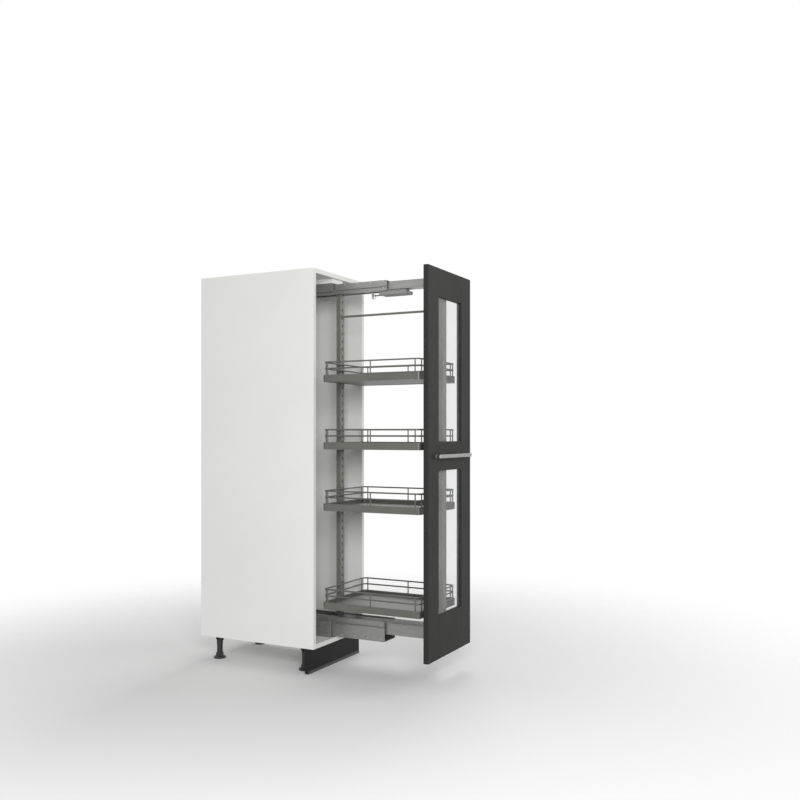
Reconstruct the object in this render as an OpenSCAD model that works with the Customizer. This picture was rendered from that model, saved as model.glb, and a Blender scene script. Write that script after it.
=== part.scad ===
// Tall larder pull-out: a cabinet, a telescopic runner below and above, and a
// steel frame that carries four baskets and a glazed front.
// Drawn pulled out, as in use. The origin is on the floor under the plinth.
// +Z is up, the front faces -Y, and X runs across the width.

/* [Cabinet] */
// Outer width of the cabinet
cabinet_w = 400; // [360:10:500]
// Height of the carcass above its plinth
carcass_h = 1500; // [1460:10:1800]
// Depth of the carcass from its front edge to its back
carcass_d = 560; // [550:5:620]
// Thickness of the side, top and bottom panels
panel_t = 18; // [15:1:22]
// Thickness of the back panel
back_t = 16; // [12:1:19]
// Height of the plinth and the feet behind it
plinth_h = 100; // [60:5:150]
// Thickness of the plinth board
plinth_t = 16; // [12:1:19]
// Distance of the plinth behind the front edge of the carcass
plinth_setback = 25; // [15:1:40]
// Diameter of a levelling foot's pads
foot_pad_d = 50; // [40:1:60]
// Diameter of a levelling foot's stem
foot_stem_d = 26; // [16:1:30]
// Distance of the feet from the cabinet's sides and back
foot_inset = 55; // [40:1:80]
// Diameter of the dowels in the carcass corners
dowel_d = 8; // [6:1:10]
// Diameter of the holes that take the wall screws
wall_hole_d = 7; // [5:0.5:9]
// Distance between the two wall screws
wall_hole_pitch = 240; // [160:10:280]

/* [Pull-out] */
// Length of the frame that stays in the cabinet when it is pulled out
hold_back = 10; // [5:1:60]
// Gap between the closed front and the carcass, held by the bumpers
front_gap = 2; // [1:0.5:4]
// Space between the pushed-in frame and the back panel
rear_clear = 61; // [50:1:90]
// Width of a post across the cabinet
post_w = 30; // [24:1:36]
// Depth of a post along the travel
post_d = 20; // [16:1:26]
// Wall of a post
post_wall = 1.5; // [1:0.1:2.5]
// Diameter of the rod between the two posts
tie_rod_d = 9; // [6:1:12]
// Distance of that rod below the top of the carcass
tie_rod_drop = 172; // [140:1:220]

/* [Runners] */
// Sheet thickness of all rail profiles
rail_t = 2.5; // [2:0.1:3]
// Width of a roller's tread
roller_w = 7; // [5:0.5:9]
// Diameter of a roller's axle
axle_d = 6; // [4:0.5:8]
// Radius of the rollers in the bottom runner
bottom_roller_r = 10; // [8:0.5:11]
// Radius of the rollers in the top runner
top_roller_r = 7; // [6:0.5:7.5]
// Half width of the bottom runner's inner beam
bottom_beam_half = 34; // [26:1:44]
// Half width of the top runner's inner rail
top_beam_half = 16; // [16:1:24]
// Height of the bottom runner's cabinet rail
bottom_outer_h = 66; // [56:1:72]
// Height of the top runner's cabinet rail
top_outer_h = 34; // [32:1:38]
// Height of the bottom runner from its seat
bottom_run_h = 86; // [80:1:90]
// Height of the top runner from its seat
top_run_h = 46; // [44:1:50]
// Height of the bottom runner's inner beam
bottom_beam_h = 49; // [44:1:60]
// Height of the top runner's inner rail
top_beam_h = 34; // [30:1:34]
// Thickness of the packer above the top runner
packer_t = 18; // [10:1:24]
// Distance of the cabinet rails behind the front edge of the carcass
outer_inset = 10; // [8:1:20]
// Space between the cabinet rails and the back panel
outer_clear = 24; // [10:1:40]
// Distance of the pushed-in middle rails behind the front edge of the carcass
middle_inset = 5; // [4:1:10]
// How much shorter the middle rails are than the cabinet rails
middle_short = 30; // [20:1:60]

/* [Baskets] */
// Width of a basket
basket_w = 330; // [280:5:340]
// Height of a basket's rim
rim_h = 28; // [24:1:36]
// Width of the rim's folded top edge
rim_t = 8; // [7:0.5:12]
// Sheet thickness of the rim
rim_wall = 1.5; // [1:0.1:2.5]
// Thickness of a basket's floor panel
floor_t = 8; // [4:0.5:10]
// Height of the top wire's centre above the underside of the basket
gallery_h = 78; // [60:1:110]
// Diameter of the gallery's wires
wire_d = 6; // [4:0.5:8]
// Height of the first basket's underside above the carcass bottom
basket_1_z = 156; // [130:1:180]
// Height of the second basket's underside
basket_2_z = 544; // [480:1:560]
// Height of the third basket's underside
basket_3_z = 786; // [740:1:800]
// Height of the fourth basket's underside
basket_4_z = 1052; // [1000:1:1060]

/* [Front] */
// Distance of the front's top below the top of the carcass
front_drop = 28; // [0:1:40]
// Thickness of the front
front_t = 20; // [18:1:24]
// Distance of the front's edges inside the cabinet's width
front_reveal = 2; // [1:0.5:4]
// Width of the stiles
stile_w = 92; // [70:1:110]
// Height of the bottom rail
bottom_rail_h = 162; // [140:1:180]
// Height of the middle rail
mid_rail_h = 110; // [90:1:120]
// Height of the top rail
top_rail_h = 107; // [90:1:120]
// Thickness of the glass
glass_t = 4; // [3:0.5:6]
// Depth of the rebate that takes the glass
rebate_d = 12; // [9:0.5:13]
// Width of the rebate round a window
rebate_w = 8; // [5:0.5:12]
// How far the handle reaches past the window on each side
handle_over = 44; // [34:0.5:60]
// Height of the handle's bar
handle_h = 14; // [10:1:20]
// Depth of the handle's bar
handle_d = 9; // [8:1:14]
// Clear space for fingers behind the bar
handle_clear = 18; // [16:1:32]

/* [Hidden] */
$fn = 48;
fit = 0.05;
run = 0.3;
play = 2;
slack = 0.5;

// Reference planes
front_y = -(plinth_setback + plinth_t / 2);
back_y = front_y + carcass_d;
carcass_z = plinth_h;
inner_half = cabinet_w / 2 - panel_t;
seat_low = carcass_z + panel_t;
seat_high = carcass_z + carcass_h - panel_t - packer_t;
frame_l = carcass_d - back_t + front_gap - rear_clear;
travel = frame_l - hold_back;
front_back_y = front_y - front_gap - travel;
front_h = carcass_h - front_drop;
tie_rod_z = carcass_h - tie_rod_drop;

// Runner places, with the pull-out at full travel
outer_front_y = front_y + outer_inset;
outer_l = carcass_d - back_t - outer_inset - outer_clear;
middle_l = outer_l - middle_short;
middle_front_y = front_y + middle_inset - travel / 2;
middle_rear_y = middle_front_y + middle_l;
plate_t = 3;
beam_front_y = front_back_y + plate_t;
beam_rear_y = front_back_y + frame_l;
roller_edge = 16;
flange_cut = 32;
lip_w = 8;
flange_slack = 0.5;

// A runner is a list: half width of beam, roller radius, height of the cabinet
// rail, height of the whole, height of the beam
LOW = [bottom_beam_half, bottom_roller_r, bottom_outer_h, bottom_run_h, bottom_beam_h];
HIGH = [top_beam_half, top_roller_r, top_outer_h, top_run_h, top_beam_h];
lane = roller_w + 4 * slack;
function beam_half(k) = k[0];
function roller_r(k) = k[1];
function middle_in(k) = beam_half(k) + lane;
function middle_out(k) = middle_in(k) + rail_t;
function outer_in(k) = middle_out(k) + lane;
function outer_out(k) = outer_in(k) + rail_t;
function outer_lip(k) = k[2] - rail_t;
function middle_lip(k) = k[3] - rail_t;
function middle_low(k) = rail_t + play;
function beam_top(k) = middle_lip(k) - flange_slack;
function beam_low(k) = beam_top(k) - k[4];
function roller_low(lip, k) = lip - flange_slack - rail_t - run - roller_r(k);
function roller_high(lip, k) = lip - run - roller_r(k);
function ledge_top(lip, k) = lip - 2 * run - 2 * roller_r(k);
beam_seat_z = seat_low + beam_top(LOW);
beam_hang_z = seat_high - beam_top(HIGH);

// Roller lines along the travel
outer_roller_y = outer_front_y + roller_edge;
middle_rear_roller_y = middle_rear_y - roller_edge;
middle_front_roller_y = middle_front_y + roller_edge;
beam_roller_y = beam_rear_y - roller_edge;

// Posts and baskets
front_post_y = beam_front_y;
rear_post_y = beam_rear_y - post_d;
tongue_t = 2.5;
clip_lip_t = 3;
clip_w = 22;
clip_lip_h = 10;
clip_seat = 20;
clip_reach = tongue_t + 2 * slack + clip_lip_t;
basket_front_y = front_post_y + post_d + clip_reach + slack;
basket_rear_y = rear_post_y - clip_reach - slack;
basket_l = basket_rear_y - basket_front_y;
ledge_w = 12;
BASKETS = [basket_1_z, basket_2_z, basket_3_z, basket_4_z];

// Front
front_half = cabinet_w / 2 - front_reveal;
window_half = front_half - stile_w;
window_h = (front_h - bottom_rail_h - mid_rail_h - top_rail_h) / 2;
low_window_z = carcass_z + bottom_rail_h;
mid_rail_z = low_window_z + window_h;
high_window_z = mid_rail_z + mid_rail_h;
front_top_z = carcass_z + front_h;
front_face_y = front_back_y - front_t;
glass_gap = 0.5;
bead_t = rebate_d - glass_t;
handle_z = mid_rail_z + mid_rail_h / 2;
bracket_w = 110;
bracket_h = 44;
bracket_step = 4;
ear_low_z = seat_low + bottom_run_h + play;
ear_high_z = seat_high - top_run_h - play;
BRACKETS = [
  [seat_low + beam_low(LOW), beam_seat_z + bracket_step + bracket_h],
  [handle_z - bracket_h / 2, handle_z + bracket_h / 2],
  [beam_hang_z - bracket_step - bracket_h, seat_high - beam_low(HIGH)]
];
screw_d = 4;
screw_head_d = 8;
screw_head_t = 1.5;
screw_grip = 11;
bracket_screw_x = 40;
bracket_screw_edge = 12;
bumper_d = 10;
bumper_end = 60;

// Damper under the top rail
damper_x = 33;
damper_setback = 165;
damper_front_y = front_back_y + damper_setback;
damper_l = 122;
damper_h = 13;
damper_half = 15;
damper_rod_d = 6;
damper_stroke = 40;
damper_head_t = 12;
damper_head_h = 20;
damper_low_z = beam_hang_z - play - rail_t - damper_h;
damper_rear_y = damper_front_y + damper_l;
damper_head_y = damper_rear_y + damper_stroke + 3;
damper_rod_z = damper_low_z + damper_h / 2;
damper_head_half = 7;
rod_inside = 60;
catch_y = damper_head_y + damper_head_t + travel + run;
catch_l = 25;
catch_low_z = damper_low_z - 5;

// Colours
white_panel = [0.90, 0.90, 0.88];
dark_front = [0.28, 0.28, 0.26];
rail_grey = [0.55, 0.55, 0.55];
frame_grey = [0.48, 0.48, 0.45];
steel = [0.75, 0.75, 0.75];
dark_plastic = [0.12, 0.12, 0.12];

// A box from its two corners
module box(low, high) {
  translate(low)
    cube(high - low);
}

// A cylinder along X, from x0 to x1
module rod_x(x0, x1, y, z, r) {
  translate([min(x0, x1), y, z])
    rotate([0, 90, 0])
      cylinder(h = abs(x1 - x0), r = r);
}

// A cylinder along Y, from y0 to y1
module rod_y(x, y0, y1, z, r) {
  translate([x, y0, z])
    rotate([-90, 0, 0])
      cylinder(h = y1 - y0, r = r);
}

// Both sides of the width
module both_sides() {
  children();
  mirror([1, 0, 0])
    children();
}

// Seats of the two runners: the bottom panel, and the packer turned upside down
module on_low_seat() {
  translate([0, 0, seat_low])
    children();
}

module on_high_seat() {
  translate([0, 0, seat_high])
    mirror([0, 0, 1])
      children();
}

// Cabinet panels
dowel_l = 30;
dowel_in_side = 12;
dowel_front = 70;
dowel_rear = 90;
dowel_rows = [dowel_front, carcass_d - dowel_rear];
dowel_levels = [carcass_z + panel_t / 2, carcass_z + carcass_h - panel_t / 2];

module dowel_set(d) {
  for (z = dowel_levels, y = dowel_rows)
    rod_x(inner_half - (dowel_l - dowel_in_side), inner_half + dowel_in_side, front_y + y, z, d / 2);
}

module side_panel() {
  difference() {
    box([inner_half, front_y, carcass_z], [cabinet_w / 2, back_y, carcass_z + carcass_h]);
    dowel_set(dowel_d + 2 * fit);
  }
}

module side_panel_left() {
  color(white_panel)
    mirror([1, 0, 0])
      side_panel();
}

module side_panel_right() {
  color(white_panel)
    side_panel();
}

module level_panel(z) {
  difference() {
    box([-inner_half, front_y, z], [inner_half, back_y, z + panel_t]);
    both_sides()
      dowel_set(dowel_d + 2 * fit);
    runner_screw_set(screw_d + 2 * fit);
  }
}

module top_panel() {
  color(white_panel)
    level_panel(carcass_z + carcass_h - panel_t);
}

module bottom_panel() {
  color(white_panel)
    level_panel(carcass_z);
}

wall_hole_drop = 60;
wall_hole_z = carcass_z + carcass_h - panel_t - wall_hole_drop;

module back_panel() {
  color(white_panel)
    difference() {
      box([-inner_half, back_y - back_t, carcass_z + panel_t],
          [inner_half, back_y, carcass_z + carcass_h - panel_t]);
      for (x = [-wall_hole_pitch / 2, wall_hole_pitch / 2])
        rod_y(x, back_y - back_t - 1, back_y + 1, wall_hole_z, wall_hole_d / 2);
    }
}

module plinth() {
  color(dark_plastic)
    box([-cabinet_w / 2, -plinth_t / 2, 0], [cabinet_w / 2, plinth_t / 2, plinth_h]);
}

foot_pad_t = 8;
foot_gap = 10;
foot_front_y = plinth_t / 2 + foot_pad_d / 2 + foot_gap;

module levelling_feet() {
  color(dark_plastic)
    for (x = [-1, 1] * (cabinet_w / 2 - foot_inset), y = [foot_front_y, back_y - foot_inset])
      translate([x, y, 0]) {
        cylinder(h = foot_pad_t, d = foot_pad_d);
        cylinder(h = plinth_h, d = foot_stem_d);
        translate([0, 0, plinth_h - foot_pad_t])
          cylinder(h = foot_pad_t, d = foot_pad_d);
      }
}

module corner_dowels() {
  color("burlywood")
    both_sides()
      dowel_set(dowel_d);
}

module front_bumpers() {
  color("whitesmoke")
    both_sides()
      for (z = [carcass_z + bumper_end, carcass_z + front_h - bumper_end])
        rod_y(cabinet_w / 2 - panel_t / 2, front_y - front_gap + run, front_y, z, bumper_d / 2);
}

// Cabinet side of the runners
runner_screw_end = 60;

module runner_screw_line(grip, d) {
  for (y = [runner_screw_end, outer_l - runner_screw_end])
    translate([0, outer_front_y + y, -grip])
      cylinder(h = grip + rail_t, d = d);
}

module runner_screw_set(d) {
  on_low_seat()
    runner_screw_line(screw_grip, d);
  on_high_seat()
    runner_screw_line(screw_grip + packer_t, d);
}

module runner_screw_heads() {
  for (y = [runner_screw_end, outer_l - runner_screw_end])
    translate([0, outer_front_y + y, rail_t])
      cylinder(h = screw_head_t, d = screw_head_d);
}

module runner_screws() {
  color(steel) {
    runner_screw_set(screw_d);
    on_low_seat()
      runner_screw_heads();
    on_high_seat()
      runner_screw_heads();
  }
}

module top_packer() {
  color(white_panel)
    difference() {
      box([-outer_out(HIGH), outer_front_y, seat_high],
          [outer_out(HIGH), outer_front_y + outer_l, seat_high + packer_t]);
      runner_screw_set(screw_d + 2 * fit);
    }
}

// Rail of channel section with lips, and ledges under the upper rollers
module outer_rail(k) {
  y0 = outer_front_y;
  y1 = outer_front_y + outer_l;
  ledge = ledge_top(outer_lip(k), k);
  box([-outer_out(k), y0, 0], [outer_out(k), y1, rail_t]);
  both_sides() {
    box([outer_in(k), y0, 0], [outer_out(k), y1, k[2]]);
    box([outer_in(k) - lip_w, y0, outer_lip(k)], [outer_out(k), y1, k[2]]);
    box([outer_in(k) - lip_w, y0 + 2 * flange_cut, ledge - rail_t], [outer_out(k), y1, ledge]);
  }
}

module outer_axle(k, grow) {
  z = roller_low(outer_lip(k), k);
  x_head = middle_out(k) + slack;
  rod_x(x_head, outer_out(k), outer_roller_y, z, axle_d / 2 + grow);
}

module axle_head(x, y, z) {
  rod_x(x, x + slack, y, z, axle_d / 2 + 1.5);
}

module drilled_outer_rail(k) {
  difference() {
    outer_rail(k);
    both_sides()
      outer_axle(k, fit);
  }
}

module bottom_outer_rail() {
  color(rail_grey)
    difference() {
      on_low_seat()
        drilled_outer_rail(LOW);
      runner_screw_set(screw_d + 2 * fit);
    }
}

module top_outer_rail() {
  color(rail_grey)
    difference() {
      on_high_seat()
        drilled_outer_rail(HIGH);
      runner_screw_set(screw_d + 2 * fit);
    }
}

module outer_axle_set(k) {
  both_sides() {
    outer_axle(k, 0);
    axle_head(middle_out(k) + slack, outer_roller_y, roller_low(outer_lip(k), k));
  }
}

module outer_axles() {
  color(steel) {
    on_low_seat()
      outer_axle_set(LOW);
    on_high_seat()
      outer_axle_set(HIGH);
  }
}

module damper_catch() {
  x_plate = outer_out(HIGH);
  color(steel) {
    box([x_plate, catch_y, catch_low_z], [x_plate + plate_t, catch_y + catch_l, seat_high]);
    box([damper_x - damper_head_half, catch_y, catch_low_z],
        [x_plate + plate_t, catch_y + damper_head_t, damper_low_z + damper_h - play]);
  }
}

// Middle rails: flanges outside run on the cabinet's rollers, lips inside hold the beam
module middle_rail(k) {
  y0 = middle_front_y;
  y1 = middle_rear_y;
  flange = outer_lip(k) - flange_slack;
  ledge = ledge_top(middle_lip(k), k);
  box([-middle_out(k), y0, middle_low(k)], [middle_out(k), y1, middle_low(k) + rail_t]);
  both_sides() {
    box([middle_in(k), y0, middle_low(k)], [middle_out(k), y1, k[3]]);
    box([middle_in(k), y0, flange - rail_t], [outer_in(k) - slack, y1 - flange_cut, flange]);
    box([middle_in(k) - lip_w, y0, middle_lip(k)], [middle_out(k), y1, k[3]]);
    box([middle_in(k) - lip_w, y0 + 2 * flange_cut, ledge - rail_t], [middle_out(k), y1, ledge]);
  }
}

module middle_axle_set(k, grow) {
  z_rear = roller_high(outer_lip(k), k);
  z_front = roller_low(middle_lip(k), k);
  both_sides() {
    rod_x(middle_in(k), outer_in(k) - slack, middle_rear_roller_y, z_rear, axle_d / 2 + grow);
    rod_x(beam_half(k) + slack, middle_out(k), middle_front_roller_y, z_front, axle_d / 2 + grow);
    if (grow == 0) {
      axle_head(outer_in(k) - 2 * slack, middle_rear_roller_y, z_rear);
      axle_head(beam_half(k) + slack, middle_front_roller_y, z_front);
    }
  }
}

module drilled_middle_rail(k) {
  difference() {
    middle_rail(k);
    middle_axle_set(k, fit);
  }
}

module bottom_middle_rail() {
  color(rail_grey)
    on_low_seat()
      drilled_middle_rail(LOW);
}

module top_middle_rail() {
  color(rail_grey)
    on_high_seat()
      drilled_middle_rail(HIGH);
}

module bottom_middle_axles() {
  color(steel)
    on_low_seat()
      middle_axle_set(LOW, 0);
}

module top_middle_axles() {
  color(steel)
    on_high_seat()
      middle_axle_set(HIGH, 0);
}

// A pair of rollers, one on each side, with their treads starting at x
module roller_pair(k, x, y, z) {
  color("gainsboro")
    both_sides()
      difference() {
        rod_x(x, x + roller_w, y, z, roller_r(k));
        rod_x(x - 1, x + roller_w + 1, y, z, axle_d / 2 + fit);
      }
}

module outer_roller_pair(k) {
  roller_pair(k, outer_in(k) - slack - roller_w, outer_roller_y, roller_low(outer_lip(k), k));
}

module middle_rear_roller_pair(k) {
  roller_pair(k, middle_out(k) + slack, middle_rear_roller_y, roller_high(outer_lip(k), k));
}

module middle_front_roller_pair(k) {
  roller_pair(k, middle_in(k) - slack - roller_w, middle_front_roller_y, roller_low(middle_lip(k), k));
}

module beam_roller_pair(k) {
  roller_pair(k, beam_half(k) + slack, beam_roller_y, roller_high(middle_lip(k), k));
}

module bottom_outer_rollers() {
  on_low_seat()
    outer_roller_pair(LOW);
}

module bottom_middle_rear_rollers() {
  on_low_seat()
    middle_rear_roller_pair(LOW);
}

module bottom_middle_front_rollers() {
  on_low_seat()
    middle_front_roller_pair(LOW);
}

module bottom_beam_rollers() {
  on_low_seat()
    beam_roller_pair(LOW);
}

module top_outer_rollers() {
  on_high_seat()
    outer_roller_pair(HIGH);
}

module top_middle_rear_rollers() {
  on_high_seat()
    middle_rear_roller_pair(HIGH);
}

module top_middle_front_rollers() {
  on_high_seat()
    middle_front_roller_pair(HIGH);
}

module top_beam_rollers() {
  on_high_seat()
    beam_roller_pair(HIGH);
}

// Inner members: box tubes with a flange on each side
module beam(k) {
  y0 = beam_front_y;
  y1 = beam_rear_y;
  difference() {
    union() {
      box([-beam_half(k), y0, beam_low(k)], [beam_half(k), y1, beam_top(k)]);
      both_sides()
        box([0, y0, beam_top(k) - rail_t], [middle_in(k) - slack, y1 - flange_cut, beam_top(k)]);
    }
    box([-beam_half(k) + rail_t, y0 - 1, beam_low(k) + rail_t],
        [beam_half(k) - rail_t, y1 + 1, beam_top(k) - rail_t]);
    beam_axle_set(k, fit);
  }
}

module beam_axle_set(k, grow) {
  z = roller_high(middle_lip(k), k);
  both_sides() {
    rod_x(beam_half(k) - rail_t, middle_in(k) - slack, beam_roller_y, z, axle_d / 2 + grow);
    if (grow == 0)
      axle_head(middle_in(k) - 2 * slack, beam_roller_y, z);
  }
}

module bottom_beam() {
  color(rail_grey)
    on_low_seat()
      beam(LOW);
}

module top_inner_rail() {
  color(rail_grey)
    on_high_seat()
      beam(HIGH);
}

module beam_axles() {
  color(steel) {
    on_low_seat()
      beam_axle_set(LOW, 0);
    on_high_seat()
      beam_axle_set(HIGH, 0);
  }
}

// Posts, tie rod and basket clips
module post(y) {
  difference() {
    box([-post_w / 2, y, beam_seat_z], [post_w / 2, y + post_d, beam_hang_z]);
    box([-post_w / 2 + post_wall, y + post_wall, beam_seat_z - 1],
        [post_w / 2 - post_wall, y + post_d - post_wall, beam_hang_z + 1]);
  }
}

module front_post() {
  color(frame_grey)
    post(front_post_y);
}

module rear_post() {
  color(frame_grey)
    post(rear_post_y);
}

module tie_rod() {
  color(steel)
    rod_y(0, front_post_y + post_d, rear_post_y, carcass_z + tie_rod_z, tie_rod_d / 2);
}

// A clip on a post face at y, reaching along Y in the direction of side
module shelf_clip(y, z, side) {
  translate([0, y, z + clip_seat - clip_lip_h])
    mirror([0, side < 0 ? 1 : 0, 0]) {
      translate([-clip_w / 2, 0, -clip_lip_t])
        cube([clip_w, clip_reach, clip_lip_t]);
      translate([-clip_w / 2, clip_reach - clip_lip_t, -clip_lip_t])
        cube([clip_w, clip_lip_t, clip_lip_t + clip_lip_h]);
    }
}

module shelf_clips() {
  color(frame_grey)
    for (z = BASKETS) {
      shelf_clip(front_post_y + post_d, carcass_z + z, 1);
      shelf_clip(rear_post_y, carcass_z + z, -1);
    }
}

// Brackets that join the front to the posts and beams
module bracket_screw_line(d) {
  for (z = BRACKETS, x = [-bracket_screw_x, bracket_screw_x])
    for (h = [z[0] + bracket_screw_edge, z[1] - bracket_screw_edge])
      rod_y(x, front_back_y - screw_grip, front_back_y + plate_t, h, d / 2);
}

module front_brackets() {
  color(frame_grey)
    difference() {
      for (z = BRACKETS) {
        box([-bracket_w / 2, front_back_y, z[0]], [bracket_w / 2, front_back_y + plate_t, z[1]]);
        both_sides()
          box([post_w / 2, front_back_y, max(z[0], ear_low_z)],
              [post_w / 2 + plate_t, front_post_y + post_d, min(z[1], ear_high_z)]);
      }
      bracket_screw_line(screw_d + 2 * fit);
    }
}

module bracket_screws() {
  color(steel) {
    bracket_screw_line(screw_d);
    for (z = BRACKETS, x = [-bracket_screw_x, bracket_screw_x])
      for (h = [z[0] + bracket_screw_edge, z[1] - bracket_screw_edge])
        rod_y(x, front_back_y + plate_t, front_back_y + plate_t + screw_head_t, h, screw_head_d / 2);
  }
}

// Closing damper under the top rail
module damper_housing() {
  half = beam_half(HIGH) - 1;
  color(rail_grey)
    difference() {
      union() {
        box([-half, damper_front_y, damper_low_z],
            [damper_x + damper_half, damper_rear_y, damper_low_z + damper_h]);
        box([-half, damper_front_y, damper_low_z], [half, damper_rear_y, beam_hang_z]);
      }
      rod_y(damper_x, damper_front_y + 10, damper_rear_y + 1, damper_rod_z, damper_rod_d / 2 + fit);
    }
}

module damper_rod() {
  color(steel) {
    rod_y(damper_x, damper_rear_y - rod_inside, damper_head_y + 1, damper_rod_z, damper_rod_d / 2);
    box([damper_x - damper_head_half, damper_head_y, damper_low_z + damper_h - damper_head_h],
        [damper_x + damper_head_half, damper_head_y + damper_head_t, damper_low_z + damper_h]);
  }
}

// Front: five frame pieces round two panes
module window_rebates() {
  for (z = [low_window_z, high_window_z])
    box([-window_half - rebate_w, front_back_y - rebate_d, z - rebate_w],
        [window_half + rebate_w, front_back_y + 1, z + window_h + rebate_w]);
}

module front_stile() {
  difference() {
    box([window_half, front_face_y, carcass_z], [front_half, front_back_y, front_top_z]);
    window_rebates();
    handle_screw_set(screw_d + 2 * fit);
  }
}

module front_stile_left() {
  color(dark_front)
    mirror([1, 0, 0])
      front_stile();
}

module front_stile_right() {
  color(dark_front)
    front_stile();
}

module front_rail(z0, z1) {
  color(dark_front)
    difference() {
      box([-window_half, front_face_y, z0], [window_half, front_back_y, z1]);
      window_rebates();
      bracket_screw_line(screw_d + 2 * fit);
    }
}

module front_bottom_rail() {
  front_rail(carcass_z, low_window_z);
}

module front_mid_rail() {
  front_rail(mid_rail_z, high_window_z);
}

module front_top_rail() {
  front_rail(high_window_z + window_h, front_top_z);
}

module glass_pane(z) {
  edge = rebate_w - glass_gap;
  color([0.75, 0.80, 0.80, 0.4])
    box([-window_half - edge, front_back_y - rebate_d, z - edge],
        [window_half + edge, front_back_y - bead_t, z + window_h + edge]);
}

module glass_lower() {
  glass_pane(low_window_z);
}

module glass_upper() {
  glass_pane(high_window_z);
}

module glazing_beads() {
  outer = window_half + rebate_w;
  mitre = window_half - fit;
  color(dark_front)
    for (z = [low_window_z, high_window_z]) {
      both_sides()
        box([window_half, front_back_y - bead_t, z - rebate_w],
            [outer, front_back_y, z + window_h + rebate_w]);
      box([-mitre, front_back_y - bead_t, z - rebate_w], [mitre, front_back_y, z]);
      box([-mitre, front_back_y - bead_t, z + window_h],
          [mitre, front_back_y, z + window_h + rebate_w]);
    }
}

// Handle on the middle rail
handle_end = 22;
handle_l = 2 * (window_half + handle_over);
handle_foot_x = handle_l / 2 - handle_end;
handle_foot_d = 11;
handle_bar_y = front_face_y - handle_clear;
handle_thread = 12;

module handle_screw_set(d) {
  for (x = [-handle_foot_x, handle_foot_x])
    rod_y(x, front_face_y - handle_thread, front_back_y, handle_z, d / 2);
}

module handle() {
  color(steel)
    difference() {
      union() {
        box([-handle_l / 2, handle_bar_y - handle_d, handle_z - handle_h / 2],
            [handle_l / 2, handle_bar_y, handle_z + handle_h / 2]);
        for (x = [-handle_foot_x, handle_foot_x])
          rod_y(x, handle_bar_y - 1, front_face_y, handle_z, handle_foot_d / 2);
      }
      handle_screw_set(screw_d + 2 * fit);
    }
}

module handle_screws() {
  color(steel) {
    handle_screw_set(screw_d);
    for (x = [-handle_foot_x, handle_foot_x])
      rod_y(x, front_back_y, front_back_y + screw_head_t, handle_z, screw_head_d / 2);
  }
}

// Baskets
gallery_bend = 18;
gallery_half_w = basket_w / 2 - rim_t / 2;
gallery_half_l = basket_l / 2 - rim_t / 2;

// A closed wire loop with round corners, lying level
module wire_loop(r) {
  run_w = gallery_half_w - gallery_bend;
  run_l = gallery_half_l - gallery_bend;
  for (s = [-1, 1]) {
    rod_x(-run_w, run_w, s * gallery_half_l, 0, r);
    rod_y(s * gallery_half_w, -run_l, run_l, 0, r);
  }
  for (c = [[1, 1, 0], [-1, 1, 90], [-1, -1, 180], [1, -1, 270]])
    translate([c[0] * run_w, c[1] * run_l, 0])
      rotate([0, 0, c[2]])
        rotate_extrude(angle = 90)
          translate([gallery_bend, 0])
            circle(r = r);
}

module gallery_uprights() {
  run_w = gallery_half_w - gallery_bend;
  run_l = gallery_half_l - gallery_bend;
  places = concat(
    [for (x = [-1, 1], y = [-1, 0, 1]) [x * gallery_half_w, y * run_l]],
    [for (x = [-1, 1], y = [-1, 1]) [x * run_w, y * gallery_half_l]]);
  for (p = places)
    translate([p[0], p[1], rim_h - rim_wall])
      cylinder(h = gallery_h - rim_h + rim_wall, d = wire_d - 1);
}

// Tongue and bridge at one end of the rim
module basket_hook() {
  half_l = basket_l / 2;
  bridge = slack + clip_lip_t + slack + tongue_t;
  translate([-clip_w / 2, half_l - 1, clip_seat])
    cube([clip_w, bridge + 1, clip_lip_t]);
  translate([-clip_w / 2, half_l + bridge - tongue_t, clip_seat - clip_lip_h + 1])
    cube([clip_w, tongue_t, clip_lip_h]);
}

module basket_rim(z) {
  half_w = basket_w / 2;
  half_l = basket_l / 2;
  color(frame_grey)
    translate([0, (basket_front_y + basket_rear_y) / 2, carcass_z + z]) {
      difference() {
        box([-half_w, -half_l, 0], [half_w, half_l, rim_h]);
        box([-half_w + rim_wall, -half_l + rim_wall, rim_wall],
            [half_w - rim_wall, half_l - rim_wall, rim_h - rim_wall]);
        box([-half_w + rim_t, -half_l + rim_t, rim_h - 2 * rim_wall],
            [half_w - rim_t, half_l - rim_t, rim_h + 1]);
        box([-half_w + ledge_w, -half_l + ledge_w, -1], [half_w - ledge_w, half_l - ledge_w, 2 * rim_wall]);
      }
      basket_hook();
      mirror([0, 1, 0])
        basket_hook();
      gallery_uprights();
      for (h = [(gallery_h + rim_h) / 2, gallery_h])
        translate([0, 0, h])
          wire_loop(wire_d / 2);
    }
}

module basket_floor(z) {
  half_w = basket_w / 2 - rim_wall - slack;
  half_l = basket_l / 2 - rim_wall - slack;
  color(frame_grey)
    translate([0, (basket_front_y + basket_rear_y) / 2, carcass_z + z])
      box([-half_w, -half_l, rim_wall], [half_w, half_l, rim_wall + floor_t]);
}

module basket_1_rim() {
  basket_rim(basket_1_z);
}

module basket_1_floor() {
  basket_floor(basket_1_z);
}

module basket_2_rim() {
  basket_rim(basket_2_z);
}

module basket_2_floor() {
  basket_floor(basket_2_z);
}

module basket_3_rim() {
  basket_rim(basket_3_z);
}

module basket_3_floor() {
  basket_floor(basket_3_z);
}

module basket_4_rim() {
  basket_rim(basket_4_z);
}

module basket_4_floor() {
  basket_floor(basket_4_z);
}

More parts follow.
